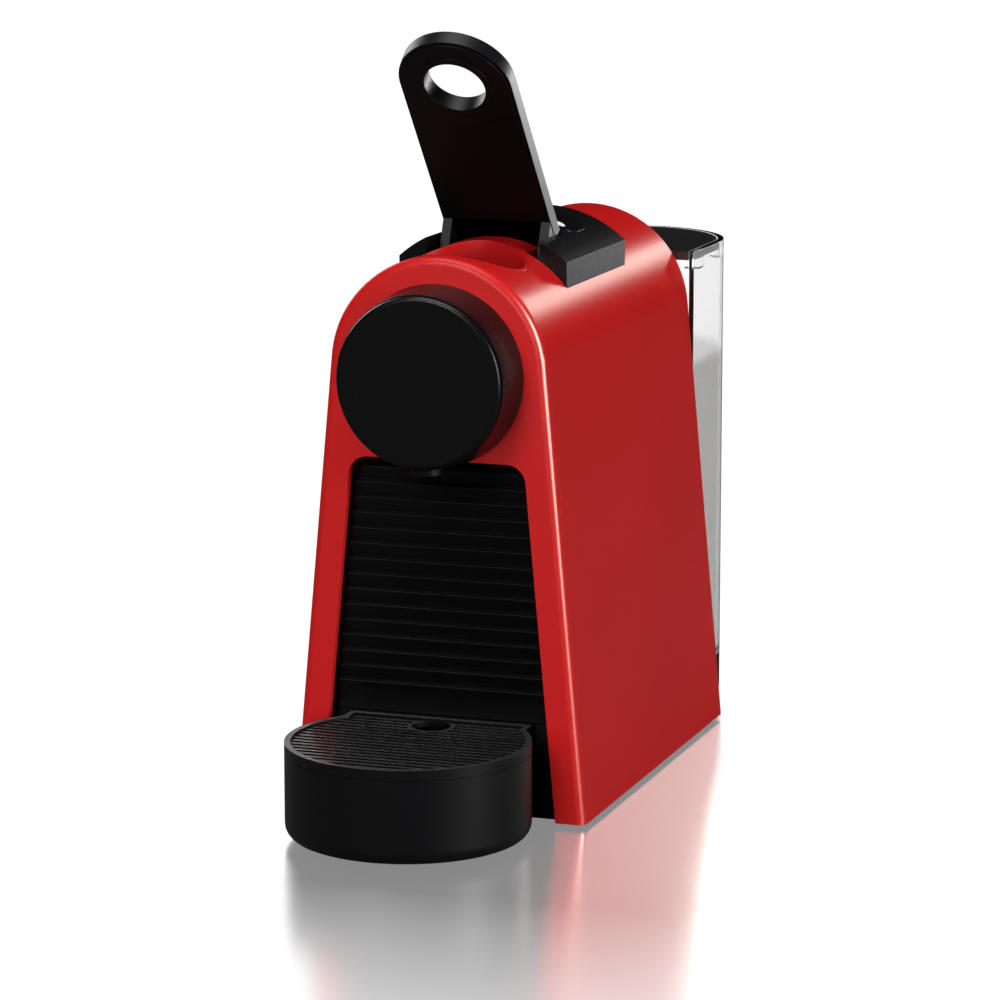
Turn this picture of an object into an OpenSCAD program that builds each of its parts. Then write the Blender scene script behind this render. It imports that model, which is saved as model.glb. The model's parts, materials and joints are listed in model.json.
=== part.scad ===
// Compact capsule espresso machine.
// +X right, +Y back, +Z up. The origin is under the middle of the whole machine, on the surface it stands on.

/* [Red body] */
// Height of the crown of the red body above the surface
body_h = 200; // [190:1:240]
// Radius of the arched crown
crown_r = 40; // [37:0.5:48]
// Width of the body where it meets the surface
base_w = 110; // [104:1:132]
// Length of the red body from its front face to its rear face
body_l = 174; // [160:1:210]
// Wall of the red shell
shell_t = 2.5; // [2:0.1:3]
// Depth of the front fascia's rim
fascia_t = 5; // [4:0.5:7]
// Rounding of the fascia's outer edge
edge_r = 3; // [1:0.25:3.5]
// Height of the rubber feet under the base
foot_h = 1.5; // [1:0.25:3]

/* [Front opening] */
// Width of the red frame beside the opening
leg_w = 10.8; // [9:0.2:13]
// Drop of the opening's top edge below the crown
opening_drop = 71.5; // [68:0.5:80]
// Radius of the opening's upper corners
opening_r = 7; // [3:0.5:10]
// How far the slatted panel stands behind the fascia's face
panel_set = 6.5; // [6:0.25:8]
// Height of one slat
slat_pitch = 5.57; // [4.5:0.1:7]
// How far each slat's nose stands out
slat_nose = 1.8; // [1:0.1:2.2]

/* [Round brew head cover] */
// Radius of the cover where it meets the fascia
disc_r = 32.2; // [30:0.2:34]
// Radius of the cover's front face
disc_front_r = 30.2; // [27:0.2:32]
// How far the cover stands out
disc_out = 19.5; // [16:0.5:24]
// Drop of the cover's centre, which is also the brewing axis, below the crown
brew_drop = 41.5; // [40:0.5:43]
// Wall of the cover
disc_t = 2.2; // [1.6:0.1:3]

/* [Drip tray] */
// Radius of the round drip tray
tray_r = 43; // [40:0.5:46]
// Height of the tray's rim
tray_top = 35.2; // [30:0.2:40]
// How far the tray reaches in front of the fascia
tray_reach = 72.5; // [60:0.5:87]
// Wall of the tray
tray_t = 2.2; // [1.6:0.1:3]
// Height of the rim band that belongs to the grid
rim_h = 3.8; // [3:0.1:6]
// Rounding of the tray's bottom edge
tray_edge = 5; // [2:0.5:8]
// Pitch of the grid's bars
grid_pitch = 3.9; // [3:0.1:6]

/* [Capsule and brewing] */
// Radius of a capsule's flange
capsule_r = 18.5; // [18:0.1:19]
// Gap that a capsule needs between the plate and the open cage
capsule_gap = 31; // [30:0.5:33]
// Length of a capsule
capsule_l = 29; // [28:0.5:30]
// Radius of a capsule's closed end
capsule_end_r = 12; // [11:0.5:13]
// Outer radius of the sliding cage
cage_r = 21.5; // [21:0.1:22]
// Length of the sliding cage
cage_l = 33; // [30:0.5:38]

/* [Lever] */
// Drop of the lever's hinge below the crown
hinge_drop = 14; // [13:0.5:16]
// Distance of the hinge behind the fascia's face
hinge_back = 62; // [60:0.5:66]
// Length of the lever from its hinge to its tip
lever_l = 102; // [85:1:123]
// Width of the lever's blade
lever_w = 41.2; // [38:0.2:42]
// Thickness of the lever's blade
lever_t = 5.5; // [4.5:0.1:6.5]
// Radius of the finger hole
grip_r = 11.1; // [9:0.1:14]
// Swing of the lever from open to closed
lever_swing = 50; // [40:1:55]
// Radius of the lever's steel shaft
shaft_r = 2.5; // [2:0.1:3]
// Gap between the closed lever and the crown
lever_gap = 0.5; // [0.4:0.1:1.5]

/* [Gears] */
// Gear module
gear_m = 1; // [1:1:1]
// Teeth of the lever's sector on a full circle
sector_teeth = 70; // [70:2:72]
// Teeth of each idler gear
idler_teeth = 12; // [12:2:12]
// Width of the gears
gear_w = 3; // [2.5:0.1:3.2]
// Thinning of each tooth for backlash
backlash = 0.1; // [0.06:0.02:0.16]

/* [Top cover and buttons] */
// Half width of the black top cover
cover_half = 31.7; // [30.5:0.1:33]
// Distance of the cover's front end behind the fascia's face
cover_front = 49; // [48:0.5:52]
// Distance of the cover's rear end behind the fascia's face
cover_back = 118.6; // [112:0.2:140]
// Radius of the cover's curved top
cover_r = 47.7; // [46:0.1:50]
// Rise of the cover's top above the crown
cover_rise = 5.5; // [5:0.1:8]
// Wall of the cover
cover_t = 2.4; // [2:0.1:3]
// Half distance between the two buttons
button_x = 16.7; // [15:0.1:18]
// Width of a button
button_w = 13; // [11:0.5:14]
// Length of a button
button_l = 21; // [18:0.5:24]
// Travel of a button
button_travel = 1.2; // [0.8:0.1:1.5]

/* [Water tank] */
// Half width of the tank
tank_half = 42; // [38:0.5:45]
// How far the tank stands behind the red body
tank_l = 78.5; // [65:0.5:95]
// Drop of the tank's rim below the crown
tank_drop = 17.6; // [0:0.1:40]
// Height of the tank's underside
tank_bottom = 16; // [15:0.5:20]
// Wall of the tank
tank_t = 2.4; // [2:0.1:3.5]
// Thickness of the lid
lid_t = 3.5; // [3:0.1:5]

/* [Pump] */
// Outer radius of the pump's coil
coil_r = 18; // [15:0.5:19]
// Radius of the pump's piston
piston_r = 5.5; // [4.5:0.1:6]
// Stroke of the pump's piston
pump_stroke = 6; // [4:0.5:7]

/* [Clearances] */
// Gap round a piece that slides or lifts out
slide_gap = 0.6; // [0.4:0.1:0.8]
// Gap between fixed mouldings
seam_gap = 0.15; // [0.1:0.05:0.3]
// Radial clearance of a shaft in its bore
run_gap = 0.06; // [0.03:0.01:0.09]

/* [Hidden] */

$fn = 96;
eps = 0.01;
tuck = 0.01;

// Overall places, all worked out from the driving sizes
total_l = tray_reach + body_l + tank_l;
front_y = -total_l / 2 + tray_reach;
back_y = front_y + body_l;
rear_y = total_l / 2;
crown_z = body_h - crown_r;
opening_top = body_h - opening_drop;
brew_z = body_h - brew_drop;
hinge_z = body_h - hinge_drop;
tank_top = body_h - tank_drop;
draft = acos(crown_r / norm([base_w / 2, crown_z])) - atan2(crown_z, base_w / 2);
panel_y = front_y + panel_set;

// Base plate
base_t = 1.8;
base_top = foot_h + base_t;
base_side = 0.3;
boss_in = 4.6;
boss_r = 3.4;

// Lever, in a frame whose origin is the hinge and whose blade points to -Y when closed
hinge_y = front_y + hinge_back;
blade_z = body_h + lever_gap - hinge_z;
blade_tail = 4;
hub_r = 5.5;
riser_in = 16.9;
riser_out = 20.4;
slot_gap = 0.8;
notch_half = lever_w / 2 + slot_gap;
notch_back = hinge_y + 14;
tongue_half = riser_in - 0.5;
tongue_back = hinge_y + 1;

// Gear train: lever sector above, idler below it, rack below the idler
sector_r = gear_m * sector_teeth / 2;
idler_r = gear_m * idler_teeth / 2;
pressure_angle = 25;
addendum = 0.85 * gear_m;
dedendum = 1.1 * gear_m;
idler_z = hinge_z - sector_r - idler_r;
rack_z = idler_z - idler_r;
gear_in = 22.4;
gear_out = gear_in + gear_w;
cage_travel = sector_r * lever_swing * PI / 180;
cheek_in = gear_out + 0.6;
cheek_t = 3;
cheek_out = cheek_in + cheek_t;
idler_pin_r = 2;

// Brewing group along Y
plate_t = 3;
frame_front = front_y + 11;
frame_wall = 3.5;
plate_back = frame_front + frame_wall + plate_t;
cage_front = plate_back + capsule_gap;
cage_back = cage_front + cage_l;
frame_bottom = opening_top + 2.5;
frame_top = brew_z + 18;
sled_t = 3.5;
sled_z = rack_z - dedendum - sled_t - 1;
tube_r = 2;
tube_l = cage_travel + 26;
tie_y = cage_back + 21;
tie_t = 3;

// Capsule chute: a round hole that a capsule lying along Y just passes
chute_off = (pow(capsule_end_r, 2) + pow(capsule_l, 2) - pow(capsule_r, 2)) / (2 * capsule_l);
chute_bore = norm([capsule_r, chute_off]) + 0.15;
chute_r = chute_bore + 1.2;
chute_y = plate_back + chute_off;
chute_floor = body_h - 16;
seat_bore = 19;

// Top cover
cover_y0 = front_y + cover_front;
cover_y1 = front_y + cover_back;
cover_cz = body_h + cover_rise - cover_r;
cover_foot = crown_z + 22;
notch_wall_z = hinge_z + hub_r + 1.5;
board_z = crown_z + 27;
board_t = 1.6;
button_y = hinge_y + 29;
button_top = cover_cz + sqrt(pow(cover_r, 2) - pow(button_x, 2));
dome_h = button_travel + 2.8;
button_foot = board_z + board_t + dome_h;
icon_y = button_y - 6;
icon_r = 2.4;
icon_t = 0.8;

// Drip tray and bin
tray_z = foot_h;
tray_y = -total_l / 2 + tray_r;
tray_split = tray_top - rim_h;
split_gap = 0.2;
tail_half = 34;
drawer_z = base_top + 0.3;
drawer_t = 2.4;
bin_t = 2;
bin_z = drawer_z + drawer_t + 0.2;
bin_back = front_y + 62;
bin_top = opening_top - 17;
bin_gap = 3.2;
bin_half = side_x(bin_top, leg_w + bin_gap);
panel_top = opening_top - 3.6;
panel_t = 2.6;
slats = floor((panel_top - tray_top - 1.2) / slat_pitch);
nose_h = 0.6;
ledge_rise = 0.6;
slat_seam = 0.1;
grid_back = panel_y - slat_nose - slide_gap;
grid_t = 2;
grid_z = tray_top - 0.6;
bar_w = 1.7;
dip_r = 7;
dip_y = grid_back - dip_r - 3.2;

// Water tank
tank_y0 = back_y + 0.8;
tank_cy = rear_y - tank_half;
valve_y = back_y + 18;
neck_r = 8;
neck_h = 6;
ledge_top = tank_bottom - 0.1;
ledge_t = 2.4;
tank_floor = tank_bottom + tank_t;
valve_lift = 2.5;
probe_top = tank_bottom - neck_h + 2 + valve_lift;
stem_r = 1.6;
disc_valve_r = 7;

// Holes in the rear panel for the suction hose and the mains lead
hose_x = 24;
hose_z = base_top + 5.5;
grommet_z = base_top + 6.5;
grommet_x = -(side_x(grommet_z, shell_t) - 5);
grommet_r = 3.6;

// Pump, flow meter and thermoblock
pump_y = front_y + 140;
pump_z0 = base_top + 16;
pump_bore = piston_r + 0.08;
coil_z = pump_z0 + 14;
coil_h = 38;
piston_l = 34;
piston_z = pump_z0 + 20 + pump_stroke;
meter_y = front_y + 88;
meter_r = 14;
meter_h = 13;
block_y0 = tie_y + tie_t + 4;
block_l = 46;
block_half = 21;
block_z0 = brew_z - 17;
block_z1 = brew_z + 14;
arm_z0 = brew_z - 8;
arm_z1 = brew_z + 8;
screw_r = 1.5;

// Half width of the body at height z, drawn in by d from its outside
function side_x(z, d) = (crown_r - d + (crown_z - z) * sin(draft)) / cos(draft);

// Involute of an angle, in degrees
function inv_deg(a) = tan(a) * 180 / PI - a;

// Half the angle of a gear tooth at radius r, for a gear with n teeth
function half_tooth(n, r) =
  let (rp = gear_m * n / 2)
  90 / n - backlash / 2 / rp * 180 / PI + inv_deg(pressure_angle)
  - inv_deg(acos(min(1, rp * cos(pressure_angle) / r)));

// Radii at which a tooth's flank is drawn
function flank_radii(n) =
  let (rp = gear_m * n / 2, low = max(rp - dedendum, rp * cos(pressure_angle)))
  [rp - dedendum, low + 0.05, (low + rp) / 2, rp, rp + addendum / 2, rp + addendum];

// Points of the teeth from first to last, in degrees about the gear's centre, starting at a0
function teeth(n, first, last, a0) = [
  for (k = [first:last])
    let (mid = a0 + k * 360 / n, radii = flank_radii(n))
    each concat(
      [for (r = radii) r * [cos(mid - half_tooth(n, r)), sin(mid - half_tooth(n, r))]],
      [for (i = [len(radii) - 1:-1:0])
        radii[i] * [cos(mid + half_tooth(n, radii[i])), sin(mid + half_tooth(n, radii[i]))]])];

// Ring of points round a helix, for a spring's wire
function helix_point(r, h, turns, t) = [r * cos(360 * turns * t), r * sin(360 * turns * t), h * t];

// ---------- shape helpers ----------

// Extrudes a drawing of X and Z along Y
module along_y(y0, y1) {
  translate([0, y1, 0]) rotate([90, 0, 0]) linear_extrude(y1 - y0) children();
}

// Extrudes a drawing of Y and Z along X
module along_x(x0, x1) {
  translate([x0, 0, 0]) rotate([90, 0, 90]) linear_extrude(x1 - x0) children();
}

// A block between two corners
module block(low, high) {
  translate(low) cube(high - low);
}

// A round bar along Y
module bar_y(r, y0, y1, x, z) {
  translate([x, y1, z]) rotate([90, 0, 0]) cylinder(r = r, h = y1 - y0);
}

// A round bar along X
module bar_x(r, x0, x1, y, z) {
  translate([x0, y, z]) rotate([0, 90, 0]) cylinder(r = r, h = x1 - x0);
}

// Both the left and the right one
module pair() {
  children();
  mirror([1, 0, 0]) children();
}

// The body's outline drawn in by d, down to height z0; the sides run just inside the circle to cross it cleanly
module arch(d, z0) {
  r = crown_r - d - tuck;
  translate([0, crown_z]) circle(crown_r - d);
  polygon([
    [-side_x(z0, d), z0], [side_x(z0, d), z0],
    [r * cos(draft), crown_z + r * sin(draft)], [-r * cos(draft), crown_z + r * sin(draft)]]);
}

// The front opening's outline drawn in by d, from z0 up to z1
module opening_outline(d, z0, z1) {
  in = leg_w + d;
  cx = side_x(z1 - opening_r, in + opening_r);
  turn = [for (i = [0:8]) draft + (90 - draft) * i / 8];
  polygon(concat(
    [[-side_x(z0, in), z0], [side_x(z0, in), z0]],
    [for (a = turn) [cx + opening_r * cos(a), z1 - opening_r + opening_r * sin(a)]],
    [for (i = [8:-1:0]) [-cx - opening_r * cos(turn[i]), z1 - opening_r + opening_r * sin(turn[i])]]));
}

// Plan of the top cover, drawn in by d, with the lever's notch at its front
module cover_plan(d) {
  polygon([
    [notch_half + d, cover_y0 + d], [cover_half - d, cover_y0 + d], [cover_half - d, cover_y1 - d],
    [d - cover_half, cover_y1 - d], [d - cover_half, cover_y0 + d], [-notch_half - d, cover_y0 + d],
    [-notch_half - d, notch_back + d], [notch_half + d, notch_back + d]]);
}

// Plan of a button, drawn out by d
module button_plan(d) {
  r = button_w / 2 + d;
  run = button_l / 2 - button_w / 2;
  translate([tuck - r, -run]) square([2 * (r - tuck), 2 * run]);
  for (s = [-1, 1]) translate([0, s * run]) circle(r);
}

// Plan of the tank drawn in by d
module tank_plan(d) {
  r = tank_half - d;
  intersection() {
    union() {
      translate([tuck - r, tank_y0]) square([2 * (r - tuck), tank_cy - tank_y0]);
      translate([0, tank_cy]) circle(r);
    }
    translate([-tank_half, tank_y0 + d]) square([2 * tank_half, tank_l]);
  }
}

// Plan of the drip tray drawn in by d, ending at back
module tray_plan(d, back) {
  intersection() {
    union() {
      translate([0, tray_y]) circle(tray_r - d);
      translate([-tail_half + d, tray_y]) square([2 * (tail_half - d), back - tray_y]);
    }
    translate([-tray_r, tray_y - tray_r]) square([2 * tray_r, back - tray_y + tray_r]);
  }
}

// Profile of a round cup of radius r with a rounded lower edge
module cup_profile(r, edge, z0, z1) {
  polygon(concat(
    [[0, z0]],
    [for (a = [0:15:90]) [r - edge + edge * sin(a), z0 + edge - edge * cos(a)]],
    [[r, z1], [0, z1]]));
}

// A hose laid through points
module hose(points, r) {
  for (i = [0:len(points) - 2]) hull() {
    translate(points[i]) sphere(r, $fn = 12);
    translate(points[i + 1]) sphere(r, $fn = 12);
  }
}

// A coil spring standing on z = 0
module coil_spring(r, h, turns, wire) {
  steps = turns * 14;
  sides = 6;
  ring = [for (k = [0:sides - 1]) [cos(360 * k / sides), sin(360 * k / sides)]];
  points = [
    for (i = [0:steps], k = [0:sides - 1])
      let (p = helix_point(r, h - 2 * wire, turns, i / steps), a = 360 * turns * i / steps)
      p + [wire * ring[k][0] * cos(a), wire * ring[k][0] * sin(a), wire + wire * ring[k][1]]];
  walls = [
    for (i = [0:steps - 1], k = [0:sides - 1])
      let (n = (k + 1) % sides)
      [i * sides + k, (i + 1) * sides + k, (i + 1) * sides + n, i * sides + n]];
  ends = [[for (k = [0:sides - 1]) k], [for (k = [sides - 1:-1:0]) steps * sides + k]];
  polyhedron(points, concat(walls, ends));
}

// A countersunk screw whose head's face is at z = 0, pointing up
module screw(length) {
  cylinder(r1 = 2 * screw_r, r2 = screw_r, h = screw_r);
  cylinder(r = screw_r, h = length);
}

// Places of the screws that hold the base plate
function base_screw_places() = [
  for (y = [front_y + fascia_t + 7, front_y + 0.55 * body_l, back_y - 12], s = [-1, 1])
    [s * (side_x(base_top, shell_t) - boss_in), y]];

// ---------- casing ----------

// Arched outer shell: one moulding, open below and at both ends
module body_shell() color("crimson") {
  difference() {
    along_y(front_y + fascia_t, back_y) arch(0, foot_h);
    along_y(front_y, back_y + 1) arch(shell_t, foot_h - 1);
    translate([0, chute_y, crown_z + 5]) cylinder(r = chute_r, h = crown_r);
    difference() {
      translate([0, 0, crown_z + 5]) linear_extrude(crown_r) union() {
        cover_plan(-seam_gap);
        translate([-notch_half, cover_y0 - seam_gap])
          square([2 * notch_half, notch_back - cover_y0 + 1]);
      }
      block([-tongue_half, cover_y0 - 1, crown_z], [tongue_half, tongue_back, body_h + 1]);
    }
  }
  for (p = base_screw_places()) shell_boss(p);
}

// A block on the shell's inner wall that a base screw bites into
module shell_boss(p) {
  in = abs(p[0]) - boss_r;
  difference() {
    intersection() {
      mirror([p[0] < 0 ? 1 : 0, 0, 0])
        block([in, p[1] - boss_r, base_top + 3.2], [base_w / 2, p[1] + boss_r, base_top + 13]);
      along_y(p[1] - boss_r, p[1] + boss_r) arch(shell_t / 2, 0);
    }
    translate([p[0], p[1], base_top]) cylinder(r = screw_r, h = 11);
  }
}

// Red front frame with its rounded outer edge, the round seat and the tall opening
module front_fascia() color("red") difference() {
  hull() for (a = [0:15:90])
    along_y(front_y + edge_r * (1 - sin(a)), front_y + fascia_t) arch(edge_r * (1 - cos(a)), foot_h);
  along_y(front_y + 3, front_y + fascia_t + 1) arch(shell_t, 0);
  along_y(front_y - 1, front_y + 4) opening_outline(0, 0, opening_top);
  bar_y(seat_bore, front_y - 1, front_y + 4, 0, brew_z);
  for (p = frame_boss_places()) bar_y(screw_r, front_y + 1.5, front_y + 4, p[0], p[1]);
}

// Black back plate inside the shell's rear end
module rear_panel() color("dimgray") difference() {
  along_y(back_y - 2.5, back_y) arch(shell_t + seam_gap, base_top);
  bar_y(3.4, back_y - 3, back_y + 1, hose_x, hose_z);
  bar_y(grommet_r, back_y - 3, back_y + 1, grommet_x, grommet_z);
}

// Flat floor of the machine with the hollow ledge that carries the tank
module base_plate() color("dimgray") {
  difference() {
    union() {
      block([-side_x(base_top, shell_t) + base_side, front_y + fascia_t, foot_h],
        [side_x(base_top, shell_t) - base_side, back_y, base_top]);
      for (p = base_screw_places()) translate([p[0], p[1], foot_h]) cylinder(r = boss_r, h = base_t + 3);
      translate([0, 0, foot_h]) linear_extrude(base_t) tank_plan(0);
      block([-tank_half, back_y - eps, foot_h], [tank_half, tank_y0 + 1, base_top]);
    }
    for (p = base_screw_places()) translate([p[0], p[1], foot_h]) {
      translate([0, 0, -eps]) cylinder(r = screw_r, h = 10);
      translate([0, 0, -eps]) cylinder(r = 2 * screw_r, h = 0.3 + eps);
      translate([0, 0, 0.3]) cylinder(r1 = 2 * screw_r, r2 = screw_r, h = screw_r);
    }
  }
  difference() {
    translate([0, 0, base_top]) linear_extrude(ledge_top - base_top) tank_plan(0);
    translate([0, 0, base_top - 1]) linear_extrude(ledge_top - base_top - ledge_t + 1) tank_plan(ledge_t);
    translate([0, valve_y, 0]) cylinder(r = neck_r + 3, h = tank_bottom);
    bar_y(3.6, back_y - 1, tank_y0 + ledge_t + 1, hose_x, hose_z);
  }
  pair() block([bin_half + 3, front_y + 20, base_top - eps], [bin_half + 5, bin_back + 6, base_top + 6]);
}

// Rubber pads that the machine stands on
module rubber_feet() color("black") {
  pad_x = base_w / 2 - 15;
  for (p = [[-pad_x, front_y + 28], [pad_x, front_y + 28], [-pad_x, back_y - 30], [pad_x, back_y - 30],
      [-18, rear_y - 18], [18, rear_y - 18]])
    translate([p[0], p[1], 0]) cylinder(r = 6, h = foot_h);
}

// All the countersunk screws of the casing and the brewing frame
module case_screws() color("silver") {
  for (p = base_screw_places()) translate([p[0], p[1], foot_h + 0.3]) screw(11);
  for (p = frame_boss_places())
    translate([p[0], frame_front + frame_wall, p[1]]) rotate([90, 0, 0])
      screw(frame_front + frame_wall - front_y - 1.5);
}

// ---------- round head cover ----------

// Turns a profile of radius and distance forward about the brewing axis
module head_turn() {
  translate([0, front_y, brew_z]) rotate([90, 0, 0]) rotate_extrude() children();
}

cap_t = 2.2;
cap_edge = 1.8;

// Tapered ring of the round cover
module head_cover_ring() color("#141518") difference() {
  head_turn() polygon([
    [disc_r - disc_t, 0], [disc_r, 0], [disc_front_r + 0.4, disc_out - cap_t - 0.15],
    [disc_front_r + 0.4 - disc_t, disc_out - cap_t - 0.15]]);
  translate([0, spout_y, brew_z - disc_r - 1]) cylinder(r = spout_r + 0.2, h = 10);
}

// Front cap of the round cover, with its spigot
module head_cover_cap() color("#141518") difference() {
  spigot = disc_front_r - disc_t - 0.2;
  head_turn() polygon(concat(
    [[0, disc_out - cap_t], [0, disc_out]],
    [for (a = [0:18:90])
      [disc_front_r - cap_edge + cap_edge * sin(a), disc_out - cap_edge + cap_edge * cos(a)]],
    [[disc_front_r, disc_out - cap_t], [spigot, disc_out - cap_t], [spigot, disc_out - cap_t - 4],
      [spigot - 1.6, disc_out - cap_t - 4], [spigot - 1.6, disc_out - cap_t]]));
  translate([0, spout_y, brew_z - disc_r - 1]) cylinder(r = spout_r + 0.2, h = 10);
}

spout_y = front_y - 10.5;
spout_r = 5.6;
spout_bore = 3.4;
spout_z = opening_top - 3;

// Spout that leads the coffee from the extraction plate down through the cover
module coffee_spout() color("black") difference() {
  union() {
    bar_y(spout_r, spout_y, frame_front + frame_wall, 0, brew_z);
    translate([0, spout_y, spout_z]) cylinder(r = spout_r, h = brew_z - spout_z);
    translate([0, spout_y, brew_z]) sphere(r = spout_r);
    bar_y(capsule_r - 4, frame_front - 2, frame_front, 0, brew_z);
  }
  bar_y(spout_bore, spout_y, frame_front + frame_wall + 1, 0, brew_z);
  translate([0, spout_y, spout_z - 1]) cylinder(r = spout_bore, h = brew_z - spout_z + 1);
  translate([0, spout_y, spout_z - 1]) cylinder(r1 = spout_r - 0.4, r2 = spout_bore, h = 4);
}

// Red ring in the crown that a capsule drops through
module capsule_chute() color("red") difference() {
  intersection() {
    translate([0, chute_y, chute_floor]) cylinder(r = chute_r - seam_gap, h = 30);
    along_y(chute_y - chute_r - 1, chute_y + chute_r + 1) arch(0, crown_z);
  }
  translate([0, chute_y, chute_floor - 1]) cylinder(r = chute_bore, h = 30);
}

// ---------- brewing unit ----------

function frame_boss_places() = [for (s = [-1, 1], z = [frame_bottom + 6, frame_top - 8]) [s * 23, z]];

// Frame with two cheeks, a front wall, the cage's ledges and arms for the thermoblock
module brew_frame() color("gray") difference() {
  union() {
    pair() {
      block([cheek_in, frame_front, frame_bottom], [cheek_out, tie_y + tie_t, frame_top]);
      block([cheek_in, tie_y, arm_z0], [cheek_out, block_y0 + block_l, arm_z1]);
      along_x(cheek_in, cheek_out) union() {
        translate([hinge_y, hinge_z]) circle(hub_r);
        translate([hinge_y - hub_r, frame_top - 1]) square([2 * hub_r, hinge_z - frame_top + 1]);
      }
      block([gear_in - 0.6, frame_front, frame_bottom], [cheek_in + eps, tie_y + tie_t, sled_z - 0.2]);
    }
    block([-cheek_out, frame_front, frame_bottom], [cheek_out, frame_front + frame_wall, frame_top]);
    block([-cheek_out, tie_y, frame_bottom], [cheek_out, tie_y + tie_t, frame_top]);
    for (p = frame_boss_places()) bar_y(3.2, front_y + 3, frame_front + eps, p[0], p[1]);
  }
  pair() {
    bar_x(shaft_r + run_gap, cheek_in - 1, cheek_out + 1, hinge_y, hinge_z);
    bar_x(idler_pin_r, cheek_in - 1, cheek_out + 1, hinge_y, idler_z);
    for (y = lug_places()) bar_x(screw_r, cheek_in - 1, cheek_out + 1, y, brew_z);
  }
  bar_y(spout_r, frame_front - 1, frame_front + frame_wall + 1, 0, brew_z);
  bar_y(tube_r + 1, tie_y - 1, tie_y + tie_t + 1, 0, brew_z);
  for (p = frame_boss_places()) {
    bar_y(screw_r, front_y + 2, frame_front + frame_wall + 1, p[0], p[1]);
    translate([p[0], frame_front + frame_wall, p[1]]) rotate([90, 0, 0])
      cylinder(r1 = 2 * screw_r, r2 = screw_r, h = screw_r);
  }
}

// Steel plate with small studs that the capsule's lid tears on
module extraction_plate() color("silver") difference() {
  union() {
    bar_y(capsule_r - 0.2, frame_front + frame_wall, plate_back, 0, brew_z);
    for (x = [-2:2], z = [-2:2]) bar_y(0.9, plate_back - eps, plate_back + 0.7, x * 4.6, brew_z + z * 4.6);
  }
  for (x = [-1.5:1.5], z = [-1.5:1.5]) if (norm([x, z]) < 2)
    bar_y(0.6, frame_front, plate_back + 1, x * 1.7, brew_z + z * 1.7);
}

// Silicone ring round the extraction plate
module plate_seal() color("white") difference() {
  bar_y(capsule_r + 1.8, frame_front + frame_wall, plate_back - 0.6, 0, brew_z);
  bar_y(capsule_r - 0.2, frame_front, plate_back, 0, brew_z);
}

// Sliding cup that pushes the capsule against the plate
module capsule_cage() color("gray") difference() {
  union() {
    bar_y(cage_r, cage_front, cage_back, 0, brew_z);
    block([-gear_in + 0.4, cage_front + 3, sled_z], [gear_in - 0.4, cage_back + 18, sled_z + sled_t]);
    block([-9, cage_front + 3, sled_z + 1], [9, cage_back, brew_z]);
  }
  translate([0, cage_front, brew_z]) rotate([-90, 0, 0]) cylinder(r1 = 15.6, r2 = 12.4, h = cage_l - 6);
  bar_y(cage_r - 2.2, cage_front - 1, cage_front + 2, 0, brew_z);
  bar_y(tube_r, cage_back - 7, cage_back + 1, 0, brew_z);
}

// Silicone lip at the mouth of the cage
module cage_seal() color("white") difference() {
  bar_y(cage_r - 2.2, cage_front + 0.4, cage_front + 2, 0, brew_z);
  bar_y(15.6, cage_front - 1, cage_front + 3, 0, brew_z);
}

// Steel disc with the three needles that pierce the capsule's base
module injector_plate() color("silver") {
  y = cage_back - 6;
  difference() {
    bar_y(12.2, y - 1.2, y, 0, brew_z);
    bar_y(1.2, y - 2, y + 1, 0, brew_z);
  }
  for (a = [90, 210, 330])
    translate([7 * cos(a), y - 1.2, brew_z + 7 * sin(a)]) rotate([90, 0, 0]) cylinder(r1 = 1.4, r2 = 0.4, h = 5);
}

// Steel tube that feeds the cage and slides in the thermoblock's gland
module inlet_tube() color("silver") difference() {
  bar_y(tube_r, cage_back - 6, cage_back + tube_l, 0, brew_z);
  bar_y(tube_r - 0.8, cage_back - 7, cage_back + tube_l + 1, 0, brew_z);
}

// Toothed strips on both sides of the cage's sled
module cage_racks() color("white") pair() {
  pitch = PI * gear_m;
  flank = tan(pressure_angle);
  half = pitch / 4 - backlash / 2;
  count = ceil(cage_travel / pitch) + 1;
  end = hinge_y + (count + 0.5) * pitch;
  along_x(gear_in, gear_out) {
    for (k = [-2:count]) polygon([
      [hinge_y + k * pitch - half - dedendum * flank, rack_z - dedendum],
      [hinge_y + k * pitch + half + dedendum * flank, rack_z - dedendum],
      [hinge_y + k * pitch + half - addendum * flank, rack_z + addendum],
      [hinge_y + k * pitch - half + addendum * flank, rack_z + addendum]]);
    polygon([
      [hinge_y - 3 * pitch, sled_z], [end, sled_z],
      [end, rack_z - dedendum + eps], [hinge_y - 3 * pitch, rack_z - dedendum + eps]]);
  }
  block([gear_in - 0.4, hinge_y - 3 * pitch, sled_z],
    [gear_in + eps, end, sled_z + sled_t]);
}

// One idler gear, on the right
module idler_gear() {
  along_x(gear_in, gear_out) difference() {
    translate([hinge_y, idler_z]) polygon(teeth(idler_teeth, 0, idler_teeth - 1, 90 + 180 / idler_teeth));
    translate([hinge_y, idler_z]) circle(idler_pin_r + run_gap);
  }
}

module idler_gear_right() color("white") idler_gear();
module idler_gear_left() color("white") mirror([1, 0, 0]) idler_gear();

// Pins that the idler gears turn on
module idler_pins() color("silver") pair() {
  bar_x(idler_pin_r, gear_in - 0.2, cheek_out, hinge_y, idler_z);
  bar_x(idler_pin_r + 1, gear_in - 0.9, gear_in - 0.2, hinge_y, idler_z);
}

// ---------- lever ----------

// Turns the closed lever's frame to the open rest position
module lever_frame() {
  translate([0, hinge_y, hinge_z]) rotate([-lever_swing, 0, 0]) children();
}

blade_r = lever_w / 2;
grip_y = -lever_l + blade_r;
lip_w = 2.4;
lip_h = 1.2;
pad_step = 0.6;
pad_r = blade_r - 1.4;

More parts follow.
